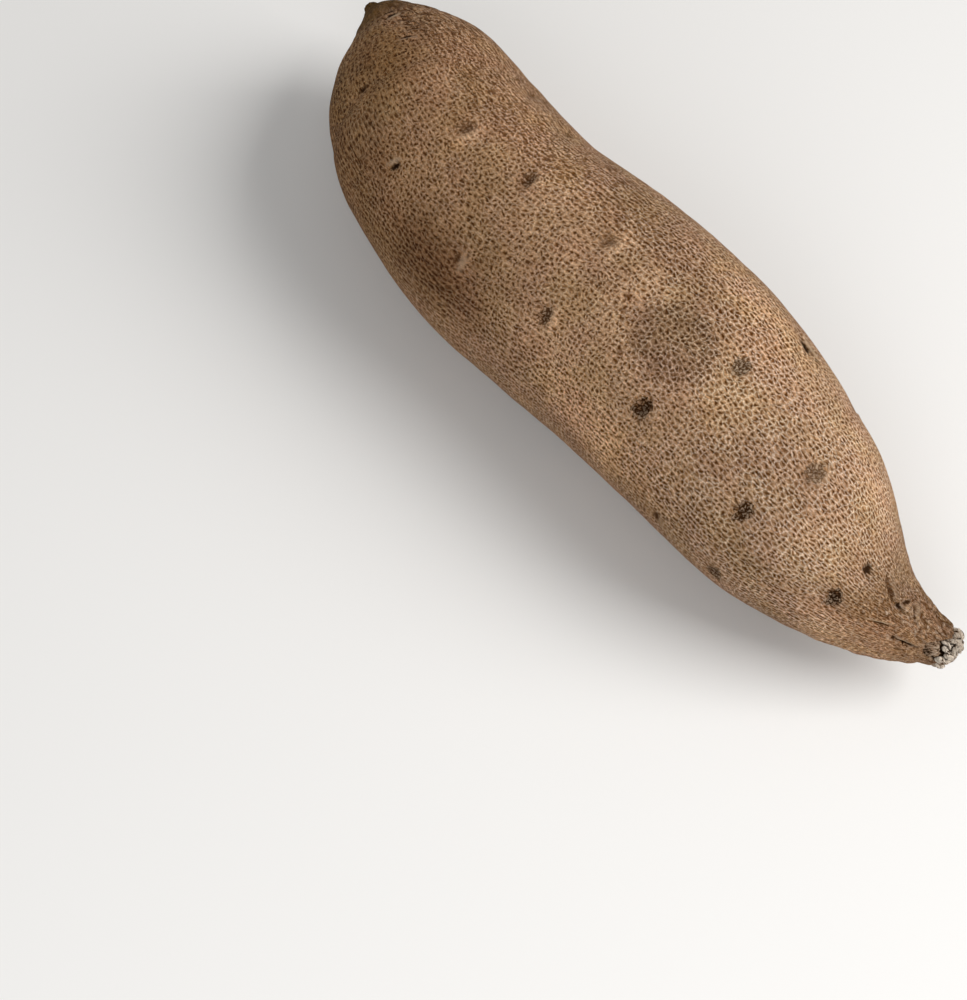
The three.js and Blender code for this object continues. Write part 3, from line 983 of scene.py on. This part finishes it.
def skin_places(g, uv):
    """The skin's own coordinates, which shrink in steps towards the crown so that the cells don't, and
    the same bent a little, so that no row of cells runs straight"""
    girth = g.attribute("tints")[2]
    jagged = g.times(g.minus(g.noise(uv, 0.6), 0.5), GIRTH_RAGGED)
    narrowed = g.math("SNAP", g.plus(g.plus(girth, GIRTH_STEP / 2), jagged), GIRTH_STEP)
    laid = g.stretch(uv, g.join(narrowed, narrowed))
    bent = laid
    for scale, reach in BENDS:
        bent = g.move(bent, g.stretch(g.stray(uv, scale), reach))
    return laid, bent


def pits(g, place, grain, slits, longer):
    """A dark pit in each cell of the skin, the brown hollow round it, and the pale net between cells"""
    cells = g.stretch(place, (1 / PIT_CELL[0], 1 / PIT_CELL[1], 0))
    points = g.voronoi(cells, "F1", CELL_RANDOM)
    draw = g.split(points["Color"])
    offset = g.vector("SUBTRACT", cells, points["Position"])
    turned = g.split(g.rotate(offset, g.times(g.minus(draw[1], 0.5), g.between(slits, 1.6, 0.5))))
    size = g.between(draw[2], 0.78, 1.14)
    slit_half = g.between(longer, SLIT_HALF[0], LONG_SLIT)
    long_half = g.times(size, g.between(slits, DOT_HALF[0], slit_half))
    wide_half = g.times(size, g.between(slits, DOT_HALF[1], SLIT_HALF[1]))
    reach = g.length(g.join(g.divide(turned[0], long_half), g.divide(turned[1], wide_half)))
    reach = g.plus(reach, g.times(grain, 1.8))
    pit = g.times(g.fade(reach, 0.45, 1.2), g.smooth(draw[0], 0, 0.7, 0.45, 1))
    hollow = g.fade(reach, 0.8, 2.2)
    edge = g.voronoi(cells, "DISTANCE_TO_EDGE", CELL_RANDOM)["Distance"]
    net = g.fade(g.minus(edge, g.times(grain, 0.35)), 0.02, 0.16)
    return pit, hollow, net


def mark_spread(g):
    """How far a point lies from the middle of its scar's mark, in sizes of that mark"""
    u, v, _ = g.attribute("scar_place")
    mark = g.attribute("scar_size")[2]
    return g.divide(g.length(g.join(u, g.times(v, MARK_FLAT))), mark)


def pitted_skin(g, uv, bent, grain, patchy):
    """The colour of the skin with its pattern, and how strong each part of the pattern is"""
    _, narrow, slits = g.attribute("zone")
    seam = g.attribute("marks")[1]
    netted = g.attribute("tail")[2]
    longer = g.attribute("bits")[2]
    near = g.attribute("scar_place")[2]
    pale = g.attribute("scar_look")[2]

    # Round pits on the upper side, slits drawn out along the tuber elsewhere
    slit_share = g.smooth(g.plus(slits, patchy), 0.38, 0.62)
    pit, hollow, net = pits(g, bent, grain, slit_share, longer)
    net = g.times(net, g.smooth(g.noise(uv, 0.2), 0.3, 0.62, 0.5, 1), g.between(netted, 0.4, 1))

    # The pattern fades on the narrow ends, along the belly's middle line and round the pale scars
    calm = g.times(g.smooth(mark_spread(g), 0.5, 1.8, 0.8, 0), near, pale)
    faded = g.most(g.most(g.times(narrow, 0.28), g.times(seam, 0.9)), calm)
    pattern = g.minus(1, faded)
    pit = g.times(pit, pattern, g.between(longer, 1, 0.7))
    net = g.times(net, pattern)
    hollow = g.times(hollow, pattern)

    skin = g.mix(narrow, CELL, SMOOTH_SKIN)
    skin = g.mix(g.times(hollow, 0.55), skin, HOLLOW)
    skin = g.mix(net, skin, NET)
    skin = g.mix(g.times(pit, g.between(slit_share, 0.9, 1)), skin, PIT)

    # Fine furrows along the far side of the crown half, where the slits run into one another
    lines = g.noise(g.stretch(bent, FURROWS), 1, 0)
    furrow = g.fade(g.plus(lines, g.times(grain, 0.2)), 0.34, 0.41)
    furrow = g.times(furrow, longer, pattern)
    skin = g.mix(g.times(furrow, 0.75), skin, PIT)
    return skin, {"pit": pit, "hollow": hollow, "net": net, "furrow": furrow}


def toned(g, skin, uv, place, fleck, streak, patchy, net):
    """Slow changes of tone and hue, streaks along the root, fine grain, stains, and darker and paler
    stretches that are partly the skin's own tone and partly painted shade and painted light
    """
    stain = g.attribute("zone")[0]
    darker_skin_and_shade = g.attribute("marks")[2]
    tail = g.attribute("tail")[0]
    light = g.attribute("tints")[1]
    crown = g.attribute("bits")[1]
    wrinkle = g.noise_inside(place, TAIL_WRINKLES, 3, 0.65)
    tone = g.times(
        g.smooth(g.noise(uv, 0.045, 3, 0.55), 0.25, 0.75, *PATCH_TONE),
        g.smooth(fleck, 0.27, 0.73, *FLECK_TONE),
        g.smooth(streak, 0.3, 0.7, *STREAK_TONE),
        g.between(tail, 1, g.smooth(wrinkle, 0.34, 0.66, *WRINKLE_TONE)),
        # paler stretches: partly the skin's own paler tone, partly painted light
        g.plus(1, light),
    )
    skin = g.mix(1, skin, g.join(tone, tone, tone), "MULTIPLY")
    hue = g.noise(uv, 0.08)
    skin = g.tint(g.smooth(hue, 0.5, 0.64), skin, PURPLE)
    skin = g.tint(g.fade(hue, 0.36, 0.48), skin, OLIVE)
    stained = g.smooth(g.plus(stain, g.times(patchy, 0.5)), 0.1, 0.8)
    skin = g.tint(g.times(stained, g.minus(1, g.times(net, 0.6))), skin, STAIN)
    # The darker stretches: partly the skin's own browner tone, partly painted shade
    return g.tint(darker_skin_and_shade, skin, g.mix(crown, g.mix(tail, SHADE, TAIL_SHADE), CROWN_SHADE))


def tail_skin(g, skin, place):
    """The tail's hairline creases, painted shade in its sunk creases, and small flakes"""
    tail, crease_shade, _ = g.attribute("tail")
    crowded = g.attribute("bits")[0]
    hairline = g.fade(g.noise_inside(place, HAIRLINES), 0.36, 0.43)
    # Where the tail's creases sink, they are darkened as well: painted shade
    hairline = g.times(g.most(g.times(hairline, 0.6), crease_shade), tail)
    skin = g.mix(g.times(hairline, 0.9), skin, PIT)
    flaky = g.plus(g.noise_inside(place, FLAKES, 2, 0.55), g.times(crowded, 0.1))
    flake = g.times(g.smooth(flaky, 0.58, 0.63), tail)
    skin = g.mix(g.times(flake, 0.6), skin, FLAKE)
    white = g.times(g.smooth(flaky, 0.68, 0.74), tail)
    return g.mix(g.times(white, 0.75), skin, WHITE_FLAKE), hairline, flake


def torn_roots(g, local, own, mark, solid):
    """Loops of torn root fibres in a scar's mark: where they lie, their black lines and pale bits;
    solid is how black the filled loops are"""
    loops = g.move(local, g.stretch(g.stray(local, 1.3, 1), (1.3, 1.3, 0)))
    cells = g.stretch(loops, (1 / LOOP_CELL[0], 1 / LOOP_CELL[1], 0))
    points = g.voronoi(cells, "F1", 1)
    draw = g.split(points["Color"])
    centre = g.vector("SUBTRACT", g.stretch(points["Position"], (*LOOP_CELL, 0)), own)
    reach = g.divide(g.length(g.stretch(centre, (1, MARK_FLAT, 0))), mark)
    inside = g.fade(reach, 0.8, 1)
    edge = g.voronoi(cells, "DISTANCE_TO_EDGE", 1)["Distance"]
    filled = g.times(g.smooth(draw[0], 0.78, 0.84), g.smooth(mark, 0.8, 1.1))
    line = g.most(g.fade(edge, 0.12, 0.26), g.times(filled, solid))
    pale = g.times(g.smooth(draw[1], 0.28, 0.42), g.smooth(edge, 0.13, 0.26))
    return inside, g.times(line, inside), g.times(pale, inside)


def scarred(g, skin, uv, grain):
    """Scars: a smooth pale lip, faint rays, a crease darkened partly by dirt and partly by painted shade,
    and torn fibres in black and grey loops
    """
    u, v, near = g.attribute("scar_place")
    half_length, half_width, mark = g.attribute("scar_size")
    black, grey, pale = g.attribute("scar_look")
    spread = mark_spread(g)
    across = g.divide(u, half_length)
    past_lip = g.minus(g.divide(v, half_width), g.smooth(mark, *SMALL_MARK, 1.2, LIP_AWAY))
    past_lip = g.divide(past_lip, g.smooth(mark, *SMALL_MARK, 0.6, 1.5))
    lip_spread = g.length(g.join(across, past_lip))
    lip = g.times(g.fade(g.plus(lip_spread, g.times(grain, 2)), 0.2, 1.4), pale, near)
    skin = g.mix(g.times(lip, g.smooth(mark, *SMALL_MARK, 1, 0.6)), skin, PALE_LIP)

    # Each scar's own number, so that no two have the same rays or fibres
    number = g.plus(g.times(half_length, 7.3), g.times(mark, 31))
    way = g.vector("NORMALIZE", g.join(u, v))
    ray_place = g.move(g.stretch(way, (2.6, 2.6, 0)), g.join(number, number, number))
    ray = g.noises(ray_place, 1.6, 2, 0.6, "3D")[0]
    ring = g.times(g.fade(spread, 0.3, 2), near)
    rays = g.times(g.smooth(ray, 0.52, 0.62), ring)
    skin = g.mix(g.times(rays, 0.25), skin, PIT)

    ragged = g.times(g.minus(g.noise(uv, 0.9, 2, 0.6), 0.5), 1.5)
    dirty = g.times(g.fade(g.plus(spread, ragged), 0.6, 1.15), near)
    skin = g.mix(g.times(dirty, black, 0.45), skin, PIT)

    own = g.join(number, number)
    solid = g.times(g.smooth(black, 0.7, 1), g.minus(1, grey))
    inside, strokes, bright = torn_roots(g, g.move(g.join(u, v), own), own, mark, solid)
    inside = g.times(inside, near)
    strokes = g.times(strokes, near)
    skin = g.mix(g.times(inside, grey, 0.3), skin, GREY_ROOT)
    skin = g.mix(g.times(inside, g.smooth(black, 0.4, 1, 0, 0.45)), skin, PIT)
    bright = g.times(bright, near, g.most(g.smooth(black, 0.3, 1, 0, 0.8), grey))
    skin = g.mix(g.times(bright, 0.9), skin, PALE_ROOT)

    root = g.mix(g.smooth(black, 0.5, 1), BROWN_ROOT, BLACK_ROOT)
    # The crease is darkened partly by dirt and partly by painted shade
    wavy = g.plus(g.divide(v, half_width), g.times(ragged, 0.6))
    crease = g.fade(g.length(g.join(across, wavy)), 0.3, 0.9)
    crease_dirt_and_shade = g.times(crease, near, g.smooth(black, 0, 0.85, 0.1, 1), g.smooth(mark, 1.9, 2.4, 1, 0.35))
    skin = g.mix(g.math("MINIMUM", crease_dirt_and_shade, 0.97), skin, root)
    blacked = g.times(strokes, g.smooth(black, 0, 0.9))
    skin = g.mix(blacked, skin, root)
    return skin, strokes, blacked, rays


def corky(g, skin, place):
    """The stub's pale splinters with the cracks between them and the groove round its edge darkened by
    painted shade, and the dark nub at the crown
    """
    stub, crack, nub = g.attribute("cork")
    pale = g.attribute("tints")[0]
    leaned = g.rotate(place, g.times(g.minus(pale, 0.6), 1.8))
    fibres = g.noise_inside(leaned, FIBRES, 3, 0.65)
    knotty = g.fade(pale, 0, 0.4)
    cork = g.mix(pale, CORK_BROWN, CORK)
    cork = g.mix(g.times(g.smooth(fibres, 0.53, 0.58), knotty), cork, WHITE_FLAKE)
    cork = g.mix(g.smooth(fibres, 0.39, 0.5, 0.85, 0), cork, CORK_BROWN)
    cork = g.mix(g.fade(g.minus(fibres, g.times(knotty, 0.07)), 0.35, 0.43), cork, CORK_DARK)
    # The sunk cracks between splinters are made near black: painted shade
    cork = g.mix(g.smooth(crack, 0.42, 0.72), cork, CORK_DARK)
    skin = g.mix(stub, skin, cork)
    # The groove round the stub's edge is darkened too: painted shade
    edge_groove_shade = g.smooth(g.times(stub, g.minus(1, stub)), 0.08, 0.22)
    skin = g.mix(g.times(edge_groove_shade, g.smooth(fibres, 0.42, 0.58, 0.85, 0.1)), skin, CORK_DARK)
    nub_skin = g.mix(g.smooth(fibres, 0.4, 0.6), NUB, NUB_LIGHT)
    return g.mix(nub, skin, nub_skin), fibres


def skin_material():
    g = Graph("potato_skin")
    uv = g.node("ShaderNodeUVMap", uv_map="Skin").outputs[0]
    place = g.node("ShaderNodeTexCoord").outputs["Object"]
    laid, bent = skin_places(g, uv)
    fleck = g.noise(g.stretch(laid, FLECKS), 1, 4, 0.72)
    grain = g.minus(fleck, 0.5)
    patchy = g.minus(g.noise(uv, 0.35), 0.5)
    streak = g.noise(g.stretch(bent, STREAKS), 1, 2, 0.55)

    skin, parts = pitted_skin(g, uv, bent, grain, patchy)
    skin = toned(g, skin, uv, place, fleck, streak, patchy, parts["net"])
    skin, hairline, flake = tail_skin(g, skin, place)
    skin, strokes, blacked, rays = scarred(g, skin, uv, grain)
    skin = g.mix(g.attribute("marks")[0], skin, PIT)
    skin, fibres = corky(g, skin, place)

    tail = g.attribute("tail")[0]
    stub, _, nub = g.attribute("cork")
    parts["grain"] = g.times(grain, g.between(tail, *GRAIN_RELIEF))
    parts["streak"] = g.minus(streak, 0.5)
    parts.update(strokes=strokes, rays=rays, hairline=hairline, flake=flake)
    parts["fibres"] = g.times(fibres, stub)
    height = 0
    for name, size in RELIEF.items():
        height = g.plus(height, g.times(parts[name], size))
    inputs = {"Height": height, "Strength": 1, "Distance": BUMP_HEIGHT * MM}
    g.plug(g.shader.inputs["Normal"], g.node("ShaderNodeBump", inputs).outputs[0])
    g.plug(g.shader.inputs["Base Color"], skin)
    matt = g.most(stub, g.most(blacked, nub))
    rough = g.between(matt, g.between(parts["net"], SKIN_ROUGH, NET_ROUGH), CORK_ROUGH)
    g.plug(g.shader.inputs["Roughness"], rough)
    g.plug(g.shader.inputs["Specular IOR Level"], SKIN_SHINE)
    return g.material


def floor_and_lights():
    mesh = bpy.data.meshes.new("floor")
    size = FLOOR_HALF
    corners = [(-size, -size, 0), (size, -size, 0), (size, size, 0), (-size, size, 0)]
    mesh.from_pydata(corners, [], [(0, 1, 2, 3)])
    floor = add_object("floor", mesh)
    g = Graph("pale_floor")
    g.plug(g.shader.inputs["Base Color"], (*FLOOR_COLOUR, 1))
    g.plug(g.shader.inputs["Roughness"], 0.9)
    g.plug(g.shader.inputs["Specular IOR Level"], 0.1)
    mesh.materials.append(g.material)

    world = bpy.data.worlds.new("studio")
    world.use_nodes = True
    sky = world.node_tree.nodes["Background"]
    sky.inputs["Color"].default_value = (*SKY_COLOUR, 1)
    sky.inputs["Strength"].default_value = SKY_STRENGTH
    bpy.context.scene.world = world

    for name, place, size, watts, colour in LIGHTS:
        light = bpy.data.lights.new(name, "AREA")
        light.size = size
        light.energy = watts
        light.color = colour
        lamp = add_object(name, light)
        lamp.location = place
        lamp.rotation_euler = (Vector(LIGHT_AIM) - Vector(place)).to_track_quat("-Z", "Y").to_euler()


def place_camera():
    azimuth = math.radians(CAMERA_AZIMUTH)
    elevation = math.radians(CAMERA_ELEVATION)
    right = Vector((math.cos(azimuth), math.sin(azimuth), 0))
    level = Vector((math.sin(azimuth), -math.cos(azimuth), 0))
    back = level * math.cos(elevation) + Vector((0, 0, math.sin(elevation)))
    turn = Matrix((right, back.cross(right), back)).transposed()
    data = bpy.data.cameras.new("camera")
    data.lens = CAMERA_LENS
    camera = add_object("camera", data)
    camera.matrix_world = Matrix.Translation(Vector(CAMERA_PLACE) * MM) @ turn.to_4x4()
    bpy.context.scene.camera = camera


place_camera()
tuber = build_tuber()
tuber.data.materials.append(skin_material())
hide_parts(NODE)
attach(tuber, "root")
floor_and_lights()

bpy.context.scene.view_settings.view_transform = "Standard"
